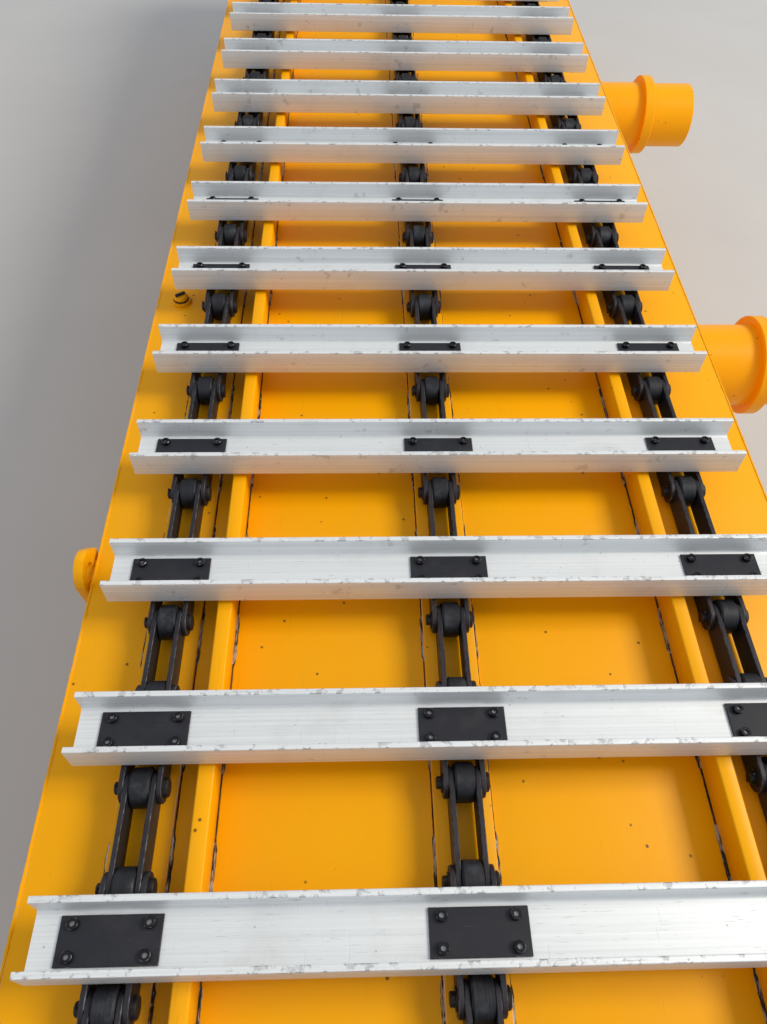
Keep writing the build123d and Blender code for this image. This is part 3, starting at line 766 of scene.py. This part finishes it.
for width, mark, finish, *nodes in easedNodes:
    for node in nodes:
        bm = bmesh.new()
        bm.from_mesh(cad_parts[node].data)
        bmesh.ops.remove_doubles(bm, verts=bm.verts, dist=1e-5)
        bmesh.ops.dissolve_limit(bm, angle_limit=radians(0.5), verts=bm.verts, edges=bm.edges)
        bmesh.ops.translate(bm, vec=(movedAcross.get(node, 0), 0, 0), verts=bm.verts)
        ease(bm, width, 25, mark=mark)
        finishPiece(node + "Eased", meshFrom(bm), finish, node)
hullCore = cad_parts["hull_core"]
hullCore.data.materials.clear()
hullCore.data.materials.append(materials["amberEnamel"])
print("steelwork eased")


# Turned pieces: shafts, cross tubes with their collars, bearing, gearbox and tensioners

shaftValues = {"edge": 0.004, "sides": 40, "centreDepth": 0.012, "centreRadius": 0.009}


def shaftPiece(node):
    # a plain shaft with chamfered ends and the centre holes that it was turned on
    v = shaftValues
    low, high, (x, y, z) = nodeBox(node)
    radius, edge = (high.y - low.y) / 2, v["edge"]
    oneEnd = [(0, v["centreDepth"]), (v["centreRadius"], 0), (radius - edge, 0), (radius, edge)]
    profile = [(r, low.x + along) for r, along in oneEnd] + [(r, high.x - along) for r, along in oneEnd[::-1]]
    bm = bmesh.new()
    addTurned(bm, profile, v["sides"], (0, y, z))
    finishPiece(node + "Turned", meshFrom(bm), "greasedSteel", node)


tubeValues = {"edge": 0.004, "wall": 0.014, "capDepth": 0.020, "spigotStep": 0.003, "gap": 0.0003,
              "sides": 72}


def tubePieces():
    # tubes turned down past their collars and closed by a cap a little inside the end
    v = tubeValues
    edge, wall, step = v["edge"], v["wall"], v["spigotStep"]
    low, high, (x, y, middleZ) = nodeBox("cross_tubes")
    collarLow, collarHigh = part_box("tube_collars")
    radius = (high.z - low.z) / 2
    spigot, seatRadius = radius - step, radius + v["gap"]
    collar = (collarHigh.z - collarLow.z) / 2
    places = [(0, end * (high.y - radius), middleZ) for end in (-1, 1)]
    tubes, collars = bmesh.new(), bmesh.new()
    for place in places:
        addTurned(tubes, ((radius, low.x), (radius, collarHigh.x - step), (spigot, collarHigh.x),
                          (spigot, high.x - edge), (spigot - edge, high.x), (spigot - wall, high.x),
                          (spigot - wall, high.x - v["capDepth"]), (0, high.x - v["capDepth"])),
                  v["sides"], place)
        addTurned(collars, ((seatRadius, collarLow.x), (collar - edge, collarLow.x),
                            (collar, collarLow.x + edge), (collar, collarHigh.x - edge),
                            (collar - edge, collarHigh.x), (seatRadius, collarHigh.x)),
                  v["sides"], place, closed=True)
    finishPiece("crossTubesTurned", meshFrom(tubes), "amberEnamel", "cross_tubes")
    finishPiece("tubeCollarsTurned", meshFrom(collars), "amberEnamel", "tube_collars")
    return places, radius


driveValues = {
    "sides": 56,
    "bearingFlange": 0.028, "bearingCorner": 0.030, "bearingEdge": 0.003,
    # radius and distance out from the flange, then radius and distance in from the housing's end
    "bearingFoot": ((0.126, 0), (0.118, 0.004), (0.112, 0.014)),
    "bearingEnd": ((0.110, 0.006), (0.104, 0), (0.092, 0), (0.090, 0.012), (0, 0.012)),
    # share of the radius and distance from the hull
    "gearbox": ((1, 0), (1, 0.024), (0.98, 0.028), (0.86, 0.028), (0.83, 0.033), (0.83, 0.096), (0.84, 0.1),
                (0.885, 0.1), (0.895, 0.103), (0.895, 0.112), (0.885, 0.115), (0.885, 0.148),
                (0.875, 0.151), (0.78, 0.158), (0.75, 0.165), (0.75, 0.203), (0.72, 0.21), (0, 0.21)),
    "motorPlate": (0.096, 0.020, 0.024, 0.002),   # half its width, thickness, corner radius, edge
}


def bearingPiece():
    # square flange with rounded corners and a round housing, whose cap lies inside its rim
    v = driveValues
    low, high, (x, y, z) = nodeBox("outer_bearing")
    half, face = (high.y - low.y) / 2, high.x - v["bearingFlange"]
    bm = bmesh.new()
    addPrism(bm, boxOutline(y - half, y + half, z - half, z + half, v["bearingCorner"], 6), high.x, face)
    ease(bm, v["bearingEdge"], 60)
    profile = [(r, face - out) for r, out in v["bearingFoot"]] + [(r, low.x + x) for r, x in v["bearingEnd"]]
    addTurned(bm, profile, v["sides"], (0, y, z))
    finishPiece("bearingHousing", meshFrom(bm), "castSteel", "outer_bearing")


def gearboxPiece():
    # stepped planetary gearbox: bolted flange, ring gear body with a ridge, and the motor's seat
    v = driveValues
    low, high, (x, y, z) = nodeBox("gearbox")
    radius = (high.y - low.y) / 2
    half, thick, corner, edge = v["motorPlate"]
    casing, plate = bmesh.new(), bmesh.new()
    addTurned(casing, [(share * radius, low.x + along) for share, along in v["gearbox"]],
              v["sides"], (0, y, z))
    addPrism(plate, boxOutline(y - half, y + half, z - half, z + half, corner, 5), high.x, high.x + thick)
    ease(plate, edge, 60)
    finishPiece("gearboxCasing", meshFrom(casing), "graphiteEnamel", "gearbox")
    finishPiece("motorFlange", meshFrom(plate), "graphiteEnamel")


tensionerValues = {
    "sides": 28, "nippleSides": 10, "halfWidth": 0.047, "bracket": 0.030, "edge": 0.003,
    # radius and distance from the bracket
    "cylinder": ((0.0445, 0), (0.0445, 0.004), (0.0445, 0.246), (0.0415, 0.250), (0.0415, 0.258),
                 (0.045, 0.262), (0.045, 0.292), (0.039, 0.300), (0.0225, 0.300), (0.0225, 0.390)),
    "nipplePlace": 0.09,
    # radius and height over the cylinder's axis
    "nipple": ((0.008, 0.042), (0.008, 0.050), (0.0045, 0.052), (0.0045, 0.060), (0.006, 0.062),
               (0.006, 0.067), (0, 0.069)),
}


def tensionerPiece():
    # grease cylinders with a gland nut, their brackets and a grease nipple on top
    v = tensionerValues
    low, high, (x, y, z) = nodeBox("tensioners")
    half, face = v["halfWidth"], low.y + v["bracket"]
    middles = (low.x + half, high.x - half)
    bm = bmesh.new()
    for x in middles:
        addPrism(bm, boxOutline(low.y, face, low.z, high.z), x - half, x + half)
    ease(bm, v["edge"], 60)
    for x in middles:
        addTurned(bm, [(radius, face + along) for radius, along in v["cylinder"]], v["sides"], (x, 0, z), "Y")
        addTurned(bm, v["nipple"], v["nippleSides"], (x, low.y + v["nipplePlace"], z), "Z")
    finishPiece("tensionerCylinders", meshFrom(bm), "greasedSteel", "tensioners")


shaftPiece("drive_shaft")
shaftPiece("idler_shaft")
tubePlaces, tubeRadius = tubePieces()
bearingPiece()
gearboxPiece()
tensionerPiece()
print("turned pieces made")


# Lifting lugs

lugValues = {
    "radius": 0.054, "holeDepth": 0.080, "holeDiameter": 0.045,
    "standOff": 0.006, "thickness": 0.024, "foot": 0.070, "edge": 0.0025,
    "flankReach": 0.075, "flankDrop": 0.004, "fromEnd": 0.080,
    "packer": 0.080, "packerFoot": 0.020, "packerDrop": 0.010,
    "arcSteps": 24, "sideSteps": 5,
}


def lugPieces():
    # round-topped plates that stand off the hull's side on packers; one flank slopes to deck level
    v = lugValues
    low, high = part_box("lifting_lugs")
    radius, foot, packer = v["radius"], v["foot"] / 2, v["packer"] / 2
    arc, side = v["arcSteps"], v["sideSteps"]
    centreZ = high.z - v["holeDepth"]
    drop = low.z - centreZ
    tip = Vector((v["flankReach"], deckTop - v["flankDrop"] - centreZ))
    first = atan2(tip.y, tip.x) + acos(radius / tip.length)
    outline = [Vector((radius * cos(a), radius * sin(a)))
               for a in [first + (pi - first) * k / arc for k in range(arc + 1)]]
    corners = [outline[-1], Vector((-foot, drop)), Vector((foot, drop)), tip, outline[0]]
    for start, end in zip(corners, corners[1:]):
        outline += [start.lerp(end, k / side) for k in range(1, side + 1)]
    outline.pop()
    bore = [p.normalized() * v["holeDiameter"] / 2 for p in outline]
    outside = low.x - v["standOff"]
    inside = outside + v["thickness"]
    bm = bmesh.new()
    for end in (-1, 1):
        y = end * (high.y - v["fromEnd"])
        rim, hole = [[(y - end * p.x, centreZ + p.y) for p in line] for line in (outline, bore)]
        addPrism(bm, rim, outside, inside, hole)
        addPrism(bm, boxOutline(y - packer, y + packer, low.z + v["packerFoot"], deckTop - v["packerDrop"]),
                 inside, hullLeft)
    ease(bm, v["edge"], 50)
    finishPiece("liftingLugs", meshFrom(bm), "amberEnamel", "lifting_lugs")


lugPieces()


# Vent plugs on the deck

ventValues = {
    "fromEdge": 0.075, "spacing": 3.424, "sides": 32,
    "bossDiameter": 0.062, "bossHeight": 0.010, "bossEdge": 0.002,
    "capDiameter": 0.046, "capHeight": 0.026, "capEdge": 0.005,
    # the dark ring under the cap stands for the cap's shade
    "shadeRing": (0.001, 0.006),   # how far it stands out, and its height
    "lever": (0.034, 0.008, 0.008), "leverDegrees": 35, "leverEdge": 0.0015,
}


def ventPieces():
    # a welded boss with a painted cap, a dark ring under the cap as painted shade, and a small lever to turn
    # the cap by
    v = ventValues
    boss, cap, edge = v["bossDiameter"] / 2, v["capDiameter"] / 2, v["capEdge"]
    top, high, bossEdge = v["bossHeight"], v["capHeight"], v["bossEdge"]
    out, height = v["shadeRing"]
    length, width, rise = v["lever"]
    turned = Matrix.Rotation(radians(v["leverDegrees"]), 4, "Z") @ Matrix.Diagonal((length, width, rise, 1))
    bm, dark = bmesh.new(), bmesh.new()
    for end in (-1, 1):
        place = (hullLeft + v["fromEdge"], end * v["spacing"] / 2, deckTop)
        for shape, profile in (
            (bm, ((boss, 0), (boss, top - bossEdge), (boss - bossEdge, top), (0, top))),
            (bm, ((0, top), (cap, top + edge), (cap, high - edge), (cap - edge, high), (0, high))),
            # painted shade: a dark ring under the cap
            (dark, ((cap + out, top), (cap + out, top + height))),
        ):
            addTurned(shape, profile, v["sides"], place, "Z")
        middle = Matrix.Translation((place[0], place[1], deckTop + high + rise / 2))
        bmesh.ops.create_cube(dark, size=1, matrix=middle @ turned)
    ease(dark, v["leverEdge"], 80)
    finishPiece("ventCaps", meshFrom(bm), "amberEnamel")
    finishPiece("ventGaskets", meshFrom(dark), "blackPlate", slotName="bare_steel")


ventPieces()
print("lugs and vents made")


# Bolts

boltValues = {
    # thread: head width, head height, washer diameter, washer thickness
    10: (0.016, 0.0064, 0.020, 0.002),
    12: (0.018, 0.0075, 0.024, 0.0025),
    16: (0.024, 0.010, 0.030, 0.003),
    24: (0.036, 0.015, 0.044, 0.004),
    # circles: radius, count
    "cap": (0.074, 6),
    "gearbox": (0.185, 20),
    "hub": (0.082, 8),
    # half the width of a square of four, and half the distance between the motor's ports
    "bearing": 0.124,
    "motor": 0.074,
    "ports": 0.022,
    "portInset": (0.045, 0.024),
    "coverEdge": 0.025,
    "coverHalf": (0.230, 0.205),   # half a cover's length, and its bolts' reach along it
    "coverSteps": (0.1025, 0.104),
}
outward = {-1: (0, -pi / 2, 0), 1: (0, pi / 2, 0)}


def ringPlaces(x, y, z, ring, side):
    # places round a circle, for bolts that stand out along X on that side
    return [((x, y + u, z + w), outward[side]) for u, w in circle(*boltValues[ring], 0.5)]


def squarePlaces(x, square, side):
    # four places round the shaft, for bolts that stand out in the same way
    half = boltValues[square]
    return [((x, sy * half - wheelY, wheelZ + sz * half), outward[side]) for sy in (-1, 1) for sz in (-1, 1)]


def coverBolts():
    # round the edge of every inspection cover
    v = boltValues
    low, high, (x, y, middleZ) = nodeBox("side_covers")
    half, reach = v["coverHalf"]
    along, up = v["coverSteps"]
    places = []
    for middle in (-1, 0, 1):
        y = middle * (high.y - half)
        places += [(y + along * (k - 2), z) for k in range(5)
                   for z in (low.z + v["coverEdge"], high.z - v["coverEdge"])]
        places += [(y + side * reach, middleZ + up * (k - 0.5)) for k in range(2) for side in (-1, 1)]
    return [((low.x, y, z), outward[-1]) for y, z in places]


def hubBolts():
    # round the face of every clamp hub, on the wheels' +X side
    places = []
    for node, y in (("sprockets", -wheelY), ("idlers", wheelY)):
        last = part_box(node)[1].x
        for strand in strands:
            places += ringPlaces(last + strandX[strand] - strandX["right"], y, wheelZ, "hub", 1)
    return places


bearing, gearbox, motor = [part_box(node) for node in ("outer_bearing", "gearbox", "drive_motor")]
flangeFace = bearing[1].x - driveValues["bearingFlange"]
capFace = bearing[0].x + driveValues["bearingEnd"][-1][1]
boltedFace = gearbox[0].x + driveValues["gearbox"][2][1]
plateFace = gearbox[1].x + driveValues["motorPlate"][1]
portX, portZ = [motor[1][axis] - inset for axis, inset in zip((0, 2), boltValues["portInset"])]
ports = [((portX, side * boltValues["ports"] - wheelY, portZ), outward[1]) for side in (-1, 1)]
for name, thread, places, seed in (
    ("bearingBolts", 24, squarePlaces(flangeFace, "bearing", -1), 3),
    ("bearingCapBolts", 10, ringPlaces(capFace, -wheelY, wheelZ, "cap", -1), 5),
    ("gearboxBolts", 16, ringPlaces(boltedFace, -wheelY, wheelZ, "gearbox", 1), 7),
    ("motorBolts", 16, squarePlaces(plateFace, "motor", 1), 9),
    ("motorPorts", 24, ports, 11),
    ("coverBolts", 12, coverBolts(), 13),
    ("hubBolts", 12, hubBolts(), 15),
):
    growPiece(name, boltPieces, pointMesh(spun(places, seed)), dict(zip(boltInputs, boltValues[thread])),
              "platedSteel")
print("bolts made")


# Weld beads: bare stitches on the deck, painted seams elsewhere

weldValues = {
    "stitchLength": 0.140, "stitchSpacing": 0.250, "stitchWidth": 0.012, "seed": 7,
    "stray": 0.012, "lengthShare": (0.85, 1.15),   # how far off its even place and length a stitch is
    "seamWidth": 0.008, "darkLineWidth": 0.006, "ripple": 0.008, "rippleDepth": 0.16,
    # how far seams stay below the side plates' tops and the deck
    "sideDrop": 0.002, "bulkheadDrop": 0.020, "packerDrop": 0.012,
    "bulkheadInset": 0.052, "tieHalf": 0.050,
}


def stitchLines(x, chance):
    # short lines along the deck
    v = weldValues
    count = int(2 * deckEnd // v["stitchSpacing"])
    lines = []
    for k in range(count):
        middle = deckEnd * (2 * (k + 0.5) / count - 1) + chance.uniform(-v["stray"], v["stray"])
        half = v["stitchLength"] / 2 * chance.uniform(*v["lengthShare"])
        lines.append([(x, middle - half, deckTop), (x, middle + half, deckTop)])
    return lines


def loopLine(x, outline):
    # closed line across the pontoon
    line = [(x, y, z) for y, z in outline]
    return line + line[:1]


def seamLines():
    # where plates, pads, tubes, lugs, brackets and bosses meet the hull
    v = weldValues
    nodes = ("hull_core", "cross_ties", "lifting_lugs", "tube_pads")
    inner, tie, lug, pads = [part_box(node) for node in nodes]
    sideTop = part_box("side_plate_outer")[1].z
    lines = [[(x, -deckEnd, sideTop - v["sideDrop"]), (x, deckEnd, sideTop - v["sideDrop"])]
             for x in (hullLeft, hullRight)]
    radius = wheelRadius - v["bulkheadInset"]
    bulkheadFoot = wheelZ - radius * cos(rake) - (wheelY + radius * sin(rake) - deckEnd) * tan(rake)
    for end in (-1, 1):
        lines += [[(x, end * deckEnd, bulkheadFoot), (x, end * deckEnd, sideTop - v["bulkheadDrop"])]
                  for x in (inner[0].x, inner[1].x)]
        y, half = end * (tie[1].y - v["tieHalf"]), v["tieHalf"]
        lines += [loopLine(x, boxOutline(y - half, y + half, tie[0].z, tie[1].z))
                  for x in (tie[0].x, tie[1].x)]
        y, half = end * (lug[1].y - lugValues["fromEnd"]), lugValues["packer"] / 2
        lines.append(loopLine(hullLeft, boxOutline(
            y - half, y + half, lug[0].z + lugValues["packerFoot"], deckTop - v["packerDrop"])))
    padRadius = (pads[1].z - pads[0].z) / 2 / cos(pi / 8)
    for centre in tubePlaces:
        for x, radius, count, first in (
            (hullRight, padRadius, 8, 0.5),
            (pads[1].x, tubeRadius, tubeValues["sides"], 0),
            (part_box("tube_collars")[0].x, tubeRadius, tubeValues["sides"], 0),
        ):
            ring = [(centre[1] + u, centre[2] + w) for u, w in circle(radius, count, first)]
            lines.append(loopLine(x, ring))
    low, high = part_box("tensioners")
    bracket = boxOutline(low.y, low.y + tensionerValues["bracket"], low.z, high.z)
    return lines + [loopLine(x, bracket) for x in (hullLeft, hullRight)]


chance = random.Random(weldValues["seed"])
stitches, corners = [], []
for bar in ["wear_bar_" + strand for strand in strands] + ["rail_left", "rail_right"]:
    low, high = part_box(bar)
    shift = movedAcross.get(bar, 0)
    for x in (low.x + shift, high.x + shift):
        stitches += stitchLines(x, chance)
        # a near-black line along the whole foot of each bar, in the corner beside it
        corners.append([(x, -deckEnd, deckTop), (x, deckEnd, deckTop)])
for name, lines, width, finish in (
    ("weldStitches", stitches, weldValues["stitchWidth"], "bareWeld"),
    ("soilLines", corners, weldValues["darkLineWidth"], "darkCornerBead"),
    ("paintedSeams", seamLines(), weldValues["seamWidth"], "amberEnamel"),
):
    growPiece(name, beadPieces, lineMesh(lines), {
        "Bead width": width, "Ripple length": weldValues["ripple"],
        "Ripple depth": weldValues["rippleDepth"]}, finish)
print("welds made:", len(stitches), "stitches")

for piece in patterns:
    bpy.data.objects.remove(piece)


# Camera, floor and light

cameraValues = {
    "place": (-0.6387, -3.8729, 3.2881), "turnDegrees": (36.4077, -1.2432, -1.4319),
    "focalPixels": 791.2, "shiftPixels": (-4.4, 26.9), "imageHeight": 1024, "sensor": 36,
}
camera = newObject("camera", bpy.data.cameras.new("camera"))
v = cameraValues
camera.location = v["place"]
camera.rotation_euler = [radians(angle) for angle in v["turnDegrees"]]
camera.data.sensor_width = v["sensor"]
camera.data.lens = v["focalPixels"] / v["imageHeight"] * v["sensor"]
camera.data.shift_x, camera.data.shift_y = [shift / v["imageHeight"] for shift in v["shiftPixels"]]
camera.data.clip_end = 200
scene.camera = camera

floorHalf = 90
floorMesh = bpy.data.meshes.new("studioFloor")
floorMesh.from_pydata([(x * floorHalf, y * floorHalf, 0) for x, y in ((-1, -1), (1, -1), (1, 1), (-1, 1))],
                      [], [(0, 1, 2, 3)])
floorMesh.materials.append(materials["paleFloor"])
studioFloor = newObject("studioFloor", floorMesh)

lightValues = {
    "worldColour": "#F2F5FA", "worldStrength": 0.68,
    "keyPlace": (17.0, -2.6, 18.0), "keyAim": (-0.4, -1.0, 1.6),
    "keySize": 8.0, "keyWatts": 4500, "keyColour": "#FFF6E6",
}
v = lightValues
world = bpy.data.worlds.new("studio")
scene.world = world
world.use_nodes = True
world.node_tree.nodes.clear()
sky = addNode(world.node_tree, "ShaderNodeBackground", links={
    "Color": hexColour(v["worldColour"]), "Strength": v["worldStrength"]})
addNode(world.node_tree, "ShaderNodeOutputWorld", links={"Surface": sky.outputs["Background"]})
keyLight = newObject("keyLight", bpy.data.lights.new("keyLight", "AREA"))
keyLight.location = v["keyPlace"]
aim = Vector(v["keyAim"]) - keyLight.location
keyLight.rotation_euler = aim.to_track_quat("-Z", "Y").to_euler()
keyLight.data.size, keyLight.data.energy = v["keySize"], v["keyWatts"]
keyLight.data.color = hexColour(v["keyColour"])[:3]

scene.view_settings.view_transform = "Standard"
print("scene ready")
